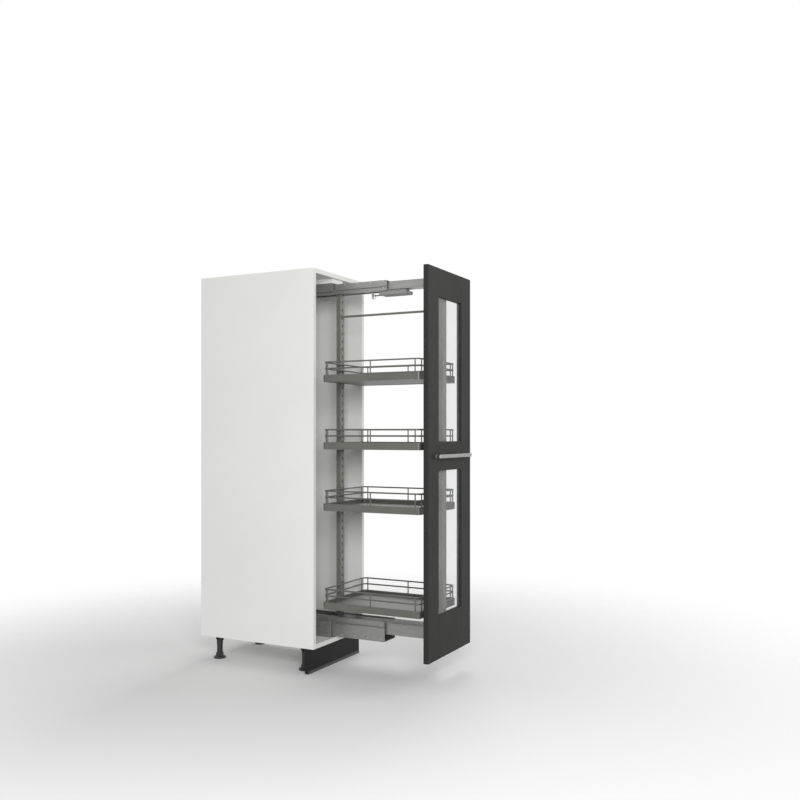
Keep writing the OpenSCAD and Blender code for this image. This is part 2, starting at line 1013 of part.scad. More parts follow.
side_panel_left();
side_panel_right();
top_panel();
bottom_panel();
back_panel();
plinth();
levelling_feet();
corner_dowels();
front_bumpers();
top_packer();
top_outer_rail();
bottom_outer_rail();
runner_screws();
outer_axles();
damper_catch();
bottom_middle_rail();
bottom_middle_axles();
top_middle_rail();
top_middle_axles();
bottom_outer_rollers();
bottom_middle_rear_rollers();
bottom_middle_front_rollers();
bottom_beam_rollers();
top_outer_rollers();
top_middle_rear_rollers();
top_middle_front_rollers();
top_beam_rollers();
bottom_beam();
top_inner_rail();
beam_axles();
rear_post();
front_post();
tie_rod();
shelf_clips();
front_brackets();
bracket_screws();
damper_housing();
damper_rod();
front_stile_left();
front_stile_right();
front_top_rail();
front_mid_rail();
front_bottom_rail();
glass_lower();
glass_upper();
glazing_beads();
handle();
handle_screws();
basket_1_rim();
basket_1_floor();
basket_2_rim();
basket_2_floor();
basket_3_rim();
basket_3_floor();
basket_4_rim();
basket_4_floor();
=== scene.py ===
# Tall pantry cabinet with a frame that pulls out of it on two telescopic runners,
# carrying four railed baskets and a glazed front. The frame is shown pulled out.
import math
import bpy
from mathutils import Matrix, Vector


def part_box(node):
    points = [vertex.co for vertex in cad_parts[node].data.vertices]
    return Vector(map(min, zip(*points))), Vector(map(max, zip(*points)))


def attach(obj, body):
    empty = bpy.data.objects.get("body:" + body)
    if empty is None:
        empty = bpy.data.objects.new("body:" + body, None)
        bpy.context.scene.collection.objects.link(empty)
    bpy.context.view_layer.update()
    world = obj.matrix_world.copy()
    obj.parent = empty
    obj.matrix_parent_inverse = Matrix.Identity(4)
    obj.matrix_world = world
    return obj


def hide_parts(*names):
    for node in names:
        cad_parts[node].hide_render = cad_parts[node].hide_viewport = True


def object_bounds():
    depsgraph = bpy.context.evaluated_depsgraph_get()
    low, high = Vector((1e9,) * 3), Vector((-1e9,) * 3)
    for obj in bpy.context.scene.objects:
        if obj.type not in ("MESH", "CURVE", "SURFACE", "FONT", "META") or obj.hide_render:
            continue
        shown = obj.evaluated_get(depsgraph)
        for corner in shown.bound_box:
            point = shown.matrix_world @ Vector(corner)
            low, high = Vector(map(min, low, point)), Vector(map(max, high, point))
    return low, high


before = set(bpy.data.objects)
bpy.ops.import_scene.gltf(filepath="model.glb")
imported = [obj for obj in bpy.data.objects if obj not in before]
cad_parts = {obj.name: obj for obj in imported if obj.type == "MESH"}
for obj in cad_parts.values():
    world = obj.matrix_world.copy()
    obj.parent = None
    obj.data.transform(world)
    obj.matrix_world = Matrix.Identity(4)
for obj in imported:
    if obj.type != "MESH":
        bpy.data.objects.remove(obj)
cad_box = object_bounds()

# Studio. A pale floor, a white surround and three soft boxes, as in a product studio.
# The camera stands left of the pulled-out front, level, at chest height, and is shifted
# a little instead of tilted, so that uprights stay upright.
MM = 0.001
PHOTO_SIDE = 800
FOCAL_PIXELS = 900
HORIZON_ROW = 432.7
SENSOR = 36.0
CAMERA_PLACE = (-3.181, -1.953, 0.952)
VIEW_TURN = math.radians(27.3)
QUARTER_TURN = math.radians(90)

camera_data = bpy.data.cameras.new("camera")
camera_data.sensor_width = SENSOR
camera_data.lens = SENSOR * FOCAL_PIXELS / PHOTO_SIDE
camera_data.shift_y = (HORIZON_ROW - PHOTO_SIDE / 2) / PHOTO_SIDE
camera = bpy.data.objects.new("camera", camera_data)
camera.location = CAMERA_PLACE
camera.rotation_euler = (QUARTER_TURN, 0, VIEW_TURN - QUARTER_TURN)
bpy.context.collection.objects.link(camera)
bpy.context.scene.camera = camera
bpy.context.scene.view_settings.view_transform = "Standard"


class Wire:
    """An output socket in a node tree, so that shader maths reads as plain expressions."""

    def __init__(self, tree, socket=None):
        self.tree = tree
        self.socket = socket

    def node(self, kind, settings=None, inputs=None, output=0):
        """Adds a node with its settings, then its sockets' values or links, and gives one output."""
        made = self.tree.nodes.new(kind)
        for key, value in (settings or {}).items():
            setattr(made, key, value)
        for key, value in (inputs or {}).items():
            if isinstance(value, Wire):
                self.tree.links.new(value.socket, made.inputs[key])
            else:
                made.inputs[key].default_value = value
        return Wire(self.tree, made.outputs[output])

    def math(self, operation, first, second):
        return self.node("ShaderNodeMath", {"operation": operation}, {0: first, 1: second})

    def __add__(self, other):
        return self.math("ADD", self, other)

    def __radd__(self, other):
        return self.math("ADD", other, self)

    def __sub__(self, other):
        return self.math("SUBTRACT", self, other)

    def __rsub__(self, other):
        return self.math("SUBTRACT", other, self)

    def __mul__(self, other):
        return self.math("MULTIPLY", self, other)

    def __rmul__(self, other):
        return self.math("MULTIPLY", other, self)

    def __gt__(self, other):
        return self.math("GREATER_THAN", self, other)

    def __lt__(self, other):
        return self.math("LESS_THAN", self, other)

    def either(self, other):
        """The larger of two masks."""
        return self.math("MAXIMUM", self, other)

    def axis(self, letter):
        """One of the three coordinates."""
        return self.node("ShaderNodeSeparateXYZ", None, {0: self}, letter)

    def within(self, low, high):
        """1 where this coordinate lies between two places in millimetres, and 0 elsewhere."""
        return (self > low * MM) * (self < high * MM)

    def stretched(self, x, y, z):
        """The same coordinates, with a pattern drawn out or packed along each axis."""
        return self.node("ShaderNodeMapping", None, {"Vector": self, "Scale": (x, y, z)})

    def noise(self, scale, detail, rough=0.55):
        return self.node("ShaderNodeTexNoise", None,
                         {"Vector": self, "Scale": scale, "Detail": detail, "Roughness": rough})

    def between(self, low, high):
        """This noise, which lies mostly between 0.3 and 0.7, taken to another range."""
        return self.node("ShaderNodeMapRange", None,
                         {"Value": self, "From Min": 0.3, "From Max": 0.7, "To Min": low, "To Max": high})

    def mix(self, dark, light):
        """A colour between two others, by this mask."""
        ends = [c if isinstance(c, Wire) else (*c, 1) for c in (dark, light)]
        return self.node("ShaderNodeMix", {"data_type": "RGBA"}, {0: self, 6: ends[0], 7: ends[1]}, 2)

    def shade(self, dark, light):
        """A colour that wanders between two others with this noise."""
        return self.between(0.0, 1.0).mix(dark, light)

    def bump(self, depth, strength):
        return self.node("ShaderNodeBump", None, {"Height": self, "Distance": depth, "Strength": strength})


def finish_named(name):
    """A new material, its shader and the Object coordinates of whatever wears it."""
    made = bpy.data.materials.new(name)
    made.use_nodes = True
    shader = made.node_tree.nodes["Principled BSDF"]
    return made, shader, Wire(made.node_tree).node("ShaderNodeTexCoord", output="Object")


def feed(shader, **sockets):
    """Links or sets the shader's sockets, with _ for a space in their names."""
    for key, value in sockets.items():
        socket = shader.inputs[key.replace("_", " ")]
        if isinstance(value, Wire):
            shader.id_data.links.new(value.socket, socket)
        else:
            socket.default_value = value


FLOOR_SIDE = 30
FLOOR_PALE = (0.86, 0.86, 0.86)
FADE_FROM, FADE_TO = 0.7, 2.6
bpy.ops.object.select_all(action="DESELECT")
bpy.ops.mesh.primitive_plane_add(size=FLOOR_SIDE)
studio_floor = bpy.context.object
studio_floor.name = "studio_floor"
floor_paint, shader, place = finish_named("studio_floor")
distance = place.node("ShaderNodeVectorMath", {"operation": "LENGTH"}, {0: place}, "Value")
fade = place.node("ShaderNodeMapRange", {"interpolation_type": "SMOOTHSTEP"},
                  {"Value": distance, "From Min": FADE_FROM, "From Max": FADE_TO,
                   "To Min": 1.0, "To Max": 0.0})
feed(shader, Base_Color=(*FLOOR_PALE, 1), Roughness=0.9, Alpha=fade)
studio_floor.data.materials.append(floor_paint)

SURROUND = 0.40
world = bpy.data.worlds.new("studio")
bpy.context.scene.world = world
world.use_nodes = True
seen, mirrored, through = (Wire(world.node_tree).node("ShaderNodeLightPath", output=ray)
                           for ray in ("Is Camera Ray", "Is Glossy Ray", "Is Transmission Ray"))
shown = seen.either(mirrored).either(through)
feed(world.node_tree.nodes["Background"], Color=(1, 1, 1, 1), Strength=shown * (1 - SURROUND) + SURROUND)


def lamp(name, place, aim, size, power):
    """A square soft box at a place, turned to what it lights."""
    data = bpy.data.lights.new(name, "AREA")
    data.size = size
    data.energy = power
    made = bpy.data.objects.new(name, data)
    made.location = place
    made.rotation_euler = (Vector(aim) - Vector(place)).to_track_quat("-Z", "Y").to_euler()
    bpy.context.collection.objects.link(made)


lamp("key_lamp", place=(-3.25, -2.25, 1.7), aim=(0, -0.1, 0.85), size=1.4, power=96)
lamp("front_lamp", place=(1.9, -2.9, 1.9), aim=(-0.1, 0, 0.85), size=1.8, power=24)
lamp("side_lamp", place=(3.0, 0.4, 4.4), aim=(0.2, 0.2, 0.9), size=1.8, power=60)


# Cabinet boards. White melamine-faced chipboard with a thin plastic band glued to each
# front edge, whose glue line shows as a fine seam, and bare chips on the rear edges. The
# sides run full height, with the top, bottom and back between them and a packer at the top.
def corners(node):
    """A CAD node's lowest and highest corner, in millimetres."""
    return [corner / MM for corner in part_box(node)]


BAND_THICK = 1.0
SEAM_WIDE = 0.3
BARE_DEPTH = 0.4
side_low, side_high = corners("side_panel_left")
back_low, back_high = corners("back_panel")
glue_line = side_low.y + BAND_THICK
white_board, shader, place = finish_named("white_board")
pearl = place.noise(1300, 2.0)
cloud = place.noise(2.5, 3.0)
chips = place.noise(420, 3.0, 0.7)
seam = place.axis("Y").within(glue_line - SEAM_WIDE / 2, glue_line + SEAM_WIDE / 2)
rear = place.axis("Y") > (side_high.y - BARE_DEPTH) * MM
back_face = place.axis("X").within(back_low.x, back_high.x) * place.axis("Z").within(back_low.z, back_high.z)
bare = rear * (1 - back_face)
board_white = cloud.shade((0.80, 0.80, 0.775), (0.835, 0.835, 0.815))
chip_brown = chips.shade((0.33, 0.25, 0.16), (0.60, 0.49, 0.35))
feed(shader, Base_Color=bare.mix(seam.mix(board_white, (0.5, 0.5, 0.48)), chip_brown),
     Roughness=pearl.between(0.42, 0.56) + bare * 0.35, Normal=(pearl + bare * chips * 4).bump(0.00012, 0.3),
     Specular_IOR_Level=0.35)


def only(*pieces):
    """Leaves just these pieces selected, the last one active."""
    bpy.ops.object.select_all(action="DESELECT")
    for piece in pieces:
        piece.select_set(True)
    bpy.context.view_layer.objects.active = pieces[-1]


def settled(piece, body, slot, *nodes):
    """Gives a finished piece the body that it rides on and hides the CAD nodes that it stands for; the slot
    is not used.
    """
    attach(piece, body)
    if nodes:
        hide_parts(*nodes)
    return piece


SMOOTH_BELOW = math.radians(35)
SHARP_ABOVE = math.radians(40)
FLAT_BELOW = math.radians(1)
SAME_PLACE = 0.005


def smoothed(piece):
    """Shades a piece's curves as smooth and keeps its flat faces flat."""
    only(piece)
    bpy.ops.object.shade_smooth_by_angle(angle=SMOOTH_BELOW)
    bpy.ops.object.modifier_add(type="WEIGHTED_NORMAL")
    piece.modifiers["WeightedNormal"].keep_sharp = True
    bpy.ops.object.modifier_apply(modifier="WeightedNormal")
    return piece


def rounded(piece, edge, least=0.0):
    """Rounds the sharp edges of a piece that are longer than a length, all in millimetres."""
    only(piece)
    bpy.ops.object.mode_set(mode="EDIT")
    bpy.ops.mesh.select_mode(type="EDGE")
    bpy.ops.mesh.select_all(action="DESELECT")
    bpy.ops.mesh.edges_select_sharp(sharpness=SHARP_ABOVE)
    bpy.ops.object.mode_set(mode="OBJECT")
    for face in piece.data.polygons:
        face.select = False
    for line in piece.data.edges:
        start, end = (piece.data.vertices[i].co for i in line.vertices)
        line.select = line.select and (end - start).length > least * MM
    bpy.ops.object.mode_set(mode="EDIT")
    bpy.ops.mesh.bevel(offset=edge * MM, segments=2)
    bpy.ops.object.mode_set(mode="OBJECT")
    return smoothed(piece)


def merged_copy(node):
    """A copy of a CAD node whose points are merged, left in edit mode with all selected."""
    made = bpy.data.objects.new(node + "_form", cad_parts[node].data.copy())
    bpy.context.collection.objects.link(made)
    only(made)
    bpy.ops.object.mode_set(mode="EDIT")
    bpy.ops.mesh.select_all(action="SELECT")
    bpy.ops.mesh.remove_doubles(threshold=SAME_PLACE * MM)
    return made


def dressed(node, body, finish, slot, edge=0.6, least=12.0):
    """A copy of a CAD node with its flat faces joined, its edges rounded and its finish on."""
    made = merged_copy(node)
    bpy.ops.mesh.dissolve_limited(angle_limit=FLAT_BELOW)
    bpy.ops.object.mode_set(mode="OBJECT")
    made.data.materials.clear()
    made.data.materials.append(finish)
    return settled(rounded(made, edge, least), body, slot, node)


for board in ("side_panel_left", "side_panel_right", "top_panel", "bottom_panel", "back_panel", "top_packer"):
    dressed(board, "cabinet", white_board, "white_board")

# Plinth. A black foil-faced board under the carcass, set back for the toes, with a
# grey sealing lip clipped along its foot to keep water out.
plinth_black, shader, place = finish_named("plinth_black")
grain = place.stretched(4, 40, 90).noise(6, 5.0)
feed(shader, Base_Color=grain.shade((0.007, 0.007, 0.007), (0.013, 0.013, 0.0125)),
     Roughness=grain.between(0.5, 0.66), Normal=grain.bump(0.0003, 0.3), Specular_IOR_Level=0.25)
seal_grey, shader, place = finish_named("seal_grey")
scuff = place.stretched(3, 30, 30).noise(40, 3.0)
feed(shader, Base_Color=scuff.shade((0.05, 0.05, 0.05), (0.08, 0.08, 0.078)),
     Roughness=scuff.between(0.45, 0.7))


def block(low, high, edge=0.5):
    """A box between two corners, in millimetres, with rounded edges."""
    bpy.ops.object.select_all(action="DESELECT")
    bpy.ops.mesh.primitive_cube_add(size=1)
    made = bpy.context.object
    bpy.ops.transform.resize(value=[(b - a) * MM for a, b in zip(low, high)])
    bpy.ops.transform.translate(value=[(a + b) / 2 * MM for a, b in zip(low, high)])
    bpy.ops.object.transform_apply(location=True, rotation=True, scale=True)
    return rounded(made, edge)


def joined(name, finish, *pieces):
    """One piece made of several, with its name and its finish."""
    only(*pieces)
    if len(pieces) > 1:
        bpy.ops.object.join()
    made = bpy.context.object
    made.name = name
    made.data.materials.clear()
    made.data.materials.append(finish)
    return made


dressed("plinth", "cabinet", plinth_black, "plinth_board", edge=0.5)
SEAL_THICK, SEAL_LOW, SEAL_HIGH, SEAL_SHORT = 1.4, 0.2, 12, 0.5
LIP_ROOT, LIP_REACH, LIP_LOW, LIP_HIGH, LIP_SHORT = 0.6, 2.6, 0.4, 2.2, 0.8
plinth_low, plinth_high = corners("plinth")
seal_half = plinth_high.x - SEAL_SHORT
lip_half = plinth_high.x - LIP_SHORT
strip = block((-seal_half, plinth_low.y - SEAL_THICK, SEAL_LOW), (seal_half, plinth_low.y, SEAL_HIGH))
lip = block((-lip_half, plinth_low.y - LIP_REACH, LIP_LOW), (lip_half, plinth_low.y - LIP_ROOT, LIP_HIGH))
settled(joined("plinth_seal", seal_grey, strip, lip), "cabinet", "plinth_board")

# Levelling feet. Moulded black plastic: a round pad on the floor, a screwed stem with a
# six-sided collar for the key, a smooth sleeve and a ribbed socket under the carcass.
foot_black, shader, place = finish_named("foot_black")
mould = place.noise(500, 3.0)
feed(shader, Base_Color=mould.shade((0.022, 0.022, 0.022), (0.034, 0.034, 0.033)),
     Roughness=mould.between(0.42, 0.6), Normal=mould.bump(0.0002, 0.4))


def rod(start, end, radius, edge=0.0, sides=32):
    """A cylinder between two points, in millimetres, with rounded rims."""
    start, end = Vector(start) * MM, Vector(end) * MM
    bpy.ops.object.select_all(action="DESELECT")
    bpy.ops.mesh.primitive_cylinder_add(
        vertices=sides, radius=radius * MM, depth=(end - start).length, location=(start + end) / 2,
        rotation=(end - start).to_track_quat("Z", "Y").to_euler())
    made = bpy.context.object
    bpy.ops.object.transform_apply(location=True, rotation=True, scale=True)
    if edge:
        return rounded(made, edge)
    bpy.ops.object.shade_smooth_by_angle(angle=SMOOTH_BELOW)
    return made


def turned(low, high, radius, edge=0.0, sides=32):
    """A cylinder that stands on the middle of the plan, between two heights in millimetres."""
    return rod((0, 0, low), (0, 0, high), radius, edge, sides)


def rowed(piece, count, step):
    """Repeats a piece in a row, each copy a step of millimetres from the last."""
    only(piece)
    bpy.ops.object.modifier_add(type="ARRAY")
    row = piece.modifiers["Array"]
    row.count = count
    row.use_relative_offset = False
    row.use_constant_offset = True
    row.constant_offset_displace = Vector(step) * MM
    bpy.ops.object.modifier_apply(modifier="Array")
    return piece


def copied(piece, name, shift):
    """A second piece of the same form, moved by millimetres."""
    only(piece)
    bpy.ops.object.duplicate()
    made = bpy.context.object
    made.name = name
    bpy.ops.transform.translate(value=Vector(shift) * MM)
    bpy.ops.object.transform_apply(location=True, rotation=True, scale=True)
    return made


def solids(node):
    """The lowest and highest corner of each separate solid in a CAD node, in millimetres."""
    merged_copy(node)
    bpy.ops.mesh.separate(type="LOOSE")
    bpy.ops.object.mode_set(mode="OBJECT")
    boxes = []
    for part in bpy.context.selected_objects:
        points = [vertex.co / MM for vertex in part.data.vertices]
        boxes.append([Vector(pick(axis) for axis in zip(*points)) for pick in (min, max)])
        bpy.data.objects.remove(part)
    return boxes


PAD_RADIUS, PAD_HIGH = 25, 8
STEM_RADIUS, STEM_TOP = 10.5, 60
COLLAR_RADIUS, COLLAR_LOW, COLLAR_HIGH = 17, 10, 23
SLEEVE_RADIUS, SLEEVE_LOW, SLEEVE_HIGH = 13, 58, 93
SOCKET_LOW = 92
RIB_LOW, RIB_REACH, RIB_HALF = 76, 20, 1
THREAD_LOW, THREAD_RADIUS, THREAD_PITCH, THREAD_TURNS = 27, 1.9, 4, 8
feet_boxes = solids("levelling_feet")
foot_high = feet_boxes[0][1].z
bpy.ops.object.select_all(action="DESELECT")
bpy.ops.mesh.primitive_torus_add(major_radius=STEM_RADIUS * MM, minor_radius=THREAD_RADIUS * MM,
                                 major_segments=28, minor_segments=8, location=(0, 0, THREAD_LOW * MM))
thread = rowed(bpy.context.object, THREAD_TURNS, (0, 0, THREAD_PITCH))
bpy.ops.object.shade_smooth()
bpy.ops.object.transform_apply(location=True, rotation=True, scale=True)
foot = joined("levelling_foot", foot_black, thread,
              turned(0, PAD_HIGH, PAD_RADIUS, edge=2.0),
              turned(PAD_HIGH, STEM_TOP, STEM_RADIUS),
              turned(COLLAR_LOW, COLLAR_HIGH, COLLAR_RADIUS, edge=1.0, sides=6),
              turned(SLEEVE_LOW, SLEEVE_HIGH, SLEEVE_RADIUS, edge=0.8),
              turned(SOCKET_LOW, foot_high, PAD_RADIUS, edge=1.0),
              block((-RIB_REACH, -RIB_HALF, RIB_LOW), (RIB_REACH, RIB_HALF, SLEEVE_HIGH)),
              block((-RIB_HALF, -RIB_REACH, RIB_LOW), (RIB_HALF, RIB_REACH, SLEEVE_HIGH)))
feet = []
for low, high in feet_boxes:
    middle = (low + high) / 2
    feet.append(copied(foot, "levelling_foot", (middle.x, middle.y, 0)))
bpy.data.objects.remove(foot)
settled(joined("levelling_feet_form", foot_black, *feet), "cabinet", "foot_plastic", "levelling_feet")

# Dowels and bumpers. Fluted beech dowels hold the carcass corners and are hidden in
# them. Four soft clear pads on the front edges take the knock of the closing front.
beech, shader, place = finish_named("beech")
fibre = place.stretched(8, 120, 120).noise(8, 4.0)
feed(shader, Base_Color=fibre.shade((0.50, 0.33, 0.18), (0.68, 0.49, 0.30)), Roughness=0.7,
     Normal=fibre.bump(0.0003, 0.5))
dressed("corner_dowels", "cabinet", beech, "dowel_wood", edge=0.6, least=0.0)
soft_pad, shader, place = finish_named("soft_pad")
haze = place.noise(300, 2.0)
feed(shader, Base_Color=haze.shade((0.70, 0.70, 0.68), (0.80, 0.80, 0.78)), Roughness=haze.between(0.25, 0.4),
     Subsurface_Weight=0.2)
dressed("front_bumpers", "cabinet", soft_pad, "bumper", edge=0.5, least=0.0)

# Runner rails. Three nested lengths of roll-formed steel above and below, zinc plated
# and clear lacquered, with faint draw lines along their length. The outer ones are
# screwed to the cabinet, the middle ones travel half way and the inner ones go with the frame.
rail_steel, shader, place = finish_named("rail_steel")
draw = place.stretched(90, 2, 90).noise(10, 4.0)
spangle = place.noise(70, 2.0)
feed(shader, Base_Color=draw.shade((0.27, 0.27, 0.265), (0.37, 0.37, 0.365)), Metallic=0.7,
     Roughness=spangle.between(0.33, 0.48), Normal=draw.bump(0.0001, 0.2))
RAILS = {"top_outer_rail": "cabinet", "bottom_outer_rail": "cabinet", "top_middle_rail": "top_middle",
         "bottom_middle_rail": "bottom_middle", "top_inner_rail": "pull_out", "bottom_beam": "pull_out"}
for rail, body in RAILS.items():
    dressed(rail, body, rail_steel, "rail_steel", edge=0.5)

# Rivets of the middle rails. A row of flat bright heads along each side holds the
# folded sheet of the middle rails together.
zinc, shader, place = finish_named("bright_zinc")
tarnish = place.noise(120, 3.0)
feed(shader, Base_Color=tarnish.shade((0.50, 0.50, 0.50), (0.64, 0.64, 0.64)), Metallic=1.0,
     Roughness=tarnish.between(0.22, 0.38))
RAIL_FLANGE = 8.5
ROW_OVER_BOTTOM, ROW_UNDER_TOP = 11.5, 4.5
RIVETS, RIVET_PITCH, RIVET_START = 8, 60, 15.5
RIVET_RADIUS, RIVET_ROOT, RIVET_HEAD = 2.6, 0.5, 0.9
rivet_rows = {"bottom": corners("bottom_middle_rail")[0].z + ROW_OVER_BOTTOM,
              "top": corners("top_middle_rail")[1].z - ROW_UNDER_TOP}
for level, row_z in rivet_rows.items():
    rail_low, rail_high = corners(level + "_middle_rail")
    wall = rail_high.x - RAIL_FLANGE
    row_y = rail_low.y + RIVET_START
    rows = []
    for side in (-1, 1):
        rivet = rod((side * (wall - RIVET_ROOT), row_y, row_z), (side * (wall + RIVET_HEAD), row_y, row_z),
                    RIVET_RADIUS, edge=0.4, sides=20)
        rows.append(rowed(rivet, RIVETS, (0, RIVET_PITCH, 0)))
    settled(joined(level + "_rivets", zinc, *rows), level + "_middle", "bright_steel")

# Rollers and axles. Pale acetal rollers run on turned axles with thin flat heads, two
# in each place, and carry each rail on the next.
acetal, shader, place = finish_named("acetal")
wear = place.stretched(1, 60, 60).noise(20, 3.0)
feed(shader, Base_Color=wear.shade((0.55, 0.55, 0.53), (0.66, 0.66, 0.64)), Roughness=wear.between(0.3, 0.45))
ROLLERS = ("bottom_outer_rollers", "bottom_middle_rear_rollers", "bottom_middle_front_rollers",
           "bottom_beam_rollers", "top_outer_rollers", "top_middle_rear_rollers",
           "top_middle_front_rollers", "top_beam_rollers")
for pair in ROLLERS:
    dressed(pair, pair, acetal, "roller_plastic", edge=0.8, least=0.0)
AXLES = {"outer_axles": "cabinet", "bottom_middle_axles": "bottom_middle", "top_middle_axles": "top_middle",
         "beam_axles": "pull_out"}
for axles, body in AXLES.items():
    dressed(axles, body, zinc, "bright_steel", edge=0.15, least=0.0)


# Screws. Bright zinc pan heads with a cross recess, each head on the side of the cabinet's
# middle: four in the cabinet rails, twelve in the front's brackets and two behind the handle.
def cut_from(piece, cutter):
    """Cuts one form out of a piece and takes the cutter away."""
    only(piece)
    bpy.ops.object.modifier_add(type="BOOLEAN")
    cut = piece.modifiers["Boolean"]
    cut.object = cutter
    cut.use_self = True
    bpy.ops.object.modifier_apply(modifier="Boolean")
    bpy.data.objects.remove(cutter)
    return smoothed(piece)


RECESS_HALF, RECESS_REACH, RECESS_DEPTH = 0.55, 2.4, 0.9
ALONG_Y, ALONG_Z = 1, 2
SCREWS = {"runner_screws": ("cabinet", ALONG_Z), "bracket_screws": ("pull_out", ALONG_Y),
          "handle_screws": ("pull_out", ALONG_Y)}
cabinet_middle = (side_low + side_high) / 2
for screws, (body, facing) in SCREWS.items():
    arms = []
    for low, high in solids(screws):
        head = (low + high) / 2
        head[facing] = low[facing] if cabinet_middle[facing] < low[facing] else high[facing]
        for along in range(3):
            reach = Vector((RECESS_HALF, RECESS_HALF, RECESS_HALF))
            reach[along] = RECESS_REACH
            reach[facing] = RECESS_DEPTH
            if along != facing:
                arms.append(block(head - reach, head + reach, edge=0.1))
    cut_from(dressed(screws, body, zinc, "bright_steel", edge=0.5, least=0.0), joined("cutter", zinc, *arms))

# Closing damper. A grey plastic housing under the top rail holds a piston whose head
# meets a bent steel catch on the cabinet's rail for the last of the travel.
damper_grey, shader, place = finish_named("damper_grey")
mould = place.noise(420, 3.0)
feed(shader, Base_Color=mould.shade((0.26, 0.26, 0.258), (0.31, 0.31, 0.308)),
     Roughness=mould.between(0.4, 0.58), Normal=mould.bump(0.0002, 0.35))
dressed("damper_housing", "pull_out", damper_grey, "damper_plastic", edge=1.5, least=9.0)
dressed("damper_rod", "damper_piston", zinc, "bright_steel", edge=0.8, least=6.0)
dressed("damper_catch", "cabinet", zinc, "bright_steel", edge=0.6, least=5.0)
GRIP_RIBS, GRIP_PITCH, GRIP_START, GRIP_WIDE = 8, 12, 15, 3
GRIP_LEFT, GRIP_RIGHT, GRIP_PROUD, GRIP_ROOT = 6, 4, 0.9, 0.5
housing_low, housing_high = corners("damper_housing")
rib_y = housing_low.y + GRIP_START
rib = block((housing_low.x + GRIP_LEFT, rib_y, housing_low.z - GRIP_PROUD),
            (housing_high.x - GRIP_RIGHT, rib_y + GRIP_WIDE, housing_low.z + GRIP_ROOT), edge=0.3)
settled(joined("damper_ribs", damper_grey, rowed(rib, GRIP_RIBS, (0, GRIP_PITCH, 0))), "pull_out",
        "damper_plastic")

# Frame. Two box posts with a row of punched slots for the basket clips, a rod that ties
# them, the clips themselves and three brackets to the front, all in warm grey powder coat.
frame_paint, shader, place = finish_named("frame_paint")
speck = place.noise(1500, 2.0)
tone = place.noise(6, 3.0)
feed(shader, Base_Color=tone.shade((0.165, 0.165, 0.147), (0.195, 0.195, 0.174)),
     Roughness=speck.between(0.36, 0.52), Metallic=0.25, Normal=speck.bump(0.0001, 0.25))
SLOT_WIDE, SLOT_LONG, SLOT_CORNER = 6, 14, 2.5
SLOT_START, SLOT_PITCH = 31, 32
PUNCH_REACH = 6
slotted_faces = {"front_post": corners("front_post")[1].y, "rear_post": corners("rear_post")[0].y}
for post, face in slotted_faces.items():
    post_low, post_high = corners(post)
    first_slot = post_low.z + SLOT_START
    slots = int((post_high.z - first_slot) / SLOT_PITCH)
    half_way = first_slot - (SLOT_PITCH - SLOT_LONG) / 2
    tube = dressed(post, "pull_out", frame_paint, "frame_paint", edge=0.6)
    bpy.ops.object.mode_set(mode="EDIT")
    for n in range(slots + 1):
        bpy.ops.mesh.select_all(action="SELECT")
        bpy.ops.mesh.bisect(plane_co=(0, 0, (half_way + n * SLOT_PITCH) * MM), plane_no=(0, 0, 1))
    bpy.ops.object.mode_set(mode="OBJECT")
    punch = block((-SLOT_WIDE / 2, face - PUNCH_REACH, first_slot),
                  (SLOT_WIDE / 2, face + PUNCH_REACH, first_slot + SLOT_LONG), edge=SLOT_CORNER)
    cut_from(tube, rowed(punch, slots, (0, 0, SLOT_PITCH)))
dressed("tie_rod", "pull_out", frame_paint, "frame_paint", edge=0.3, least=0.0)
dressed("shelf_clips", "pull_out", frame_paint, "frame_paint", edge=0.5, least=2.0)
dressed("front_brackets", "pull_out", frame_paint, "frame_paint", edge=0.6, least=5.0)
ROD_COLLAR_RADIUS, ROD_COLLAR_LONG = 8, 4
tie_low, tie_high = corners("tie_rod")
tie_z = (tie_low.z + tie_high.z) / 2
collar = rod((0, tie_low.y, tie_z), (0, tie_low.y + ROD_COLLAR_LONG, tie_z), ROD_COLLAR_RADIUS, edge=0.8)
far_collar = copied(collar, "far_collar", (0, tie_high.y - tie_low.y - ROD_COLLAR_LONG, 0))
settled(joined("tie_rod_collars", frame_paint, collar, far_collar), "pull_out", "frame_paint")

# Front. Five pieces of dark grey lacquered board, stiles running through and rails set
# between them, with eased edges that show as fine joints, and beads that hold the glass.
front_grey, shader, place = finish_named("front_lacquer")
peel = place.noise(240, 2.0)
tone = place.noise(4, 3.0)
feed(shader, Base_Color=tone.shade((0.031, 0.031, 0.0285), (0.038, 0.038, 0.035)),
     Roughness=peel.between(0.4, 0.52), Normal=peel.bump(0.0003, 0.12), Specular_IOR_Level=0.05)
FRONT_BOARDS = ("front_stile_left", "front_stile_right", "front_top_rail", "front_mid_rail",
                "front_bottom_rail")
for board in FRONT_BOARDS:
    dressed(board, "pull_out", front_grey, "front_board", edge=1.0)
dressed("glazing_beads", "pull_out", front_grey, "front_board", edge=1.0, least=5.0)

# Glass. Two clear panes of float glass with a faint green cast, laid in rebates behind
# the frame and held there by the beads.
pane, shader, place = finish_named("pane")
ripple = place.noise(8, 2.0)
feed(shader, Base_Color=ripple.shade((0.34, 0.37, 0.36), (0.40, 0.43, 0.42)),
     Roughness=ripple.between(0.02, 0.05), Alpha=ripple.between(0.15, 0.18))
for glass in ("glass_lower", "glass_upper"):
    dressed(glass, "pull_out", pane, "pane", edge=0.4)

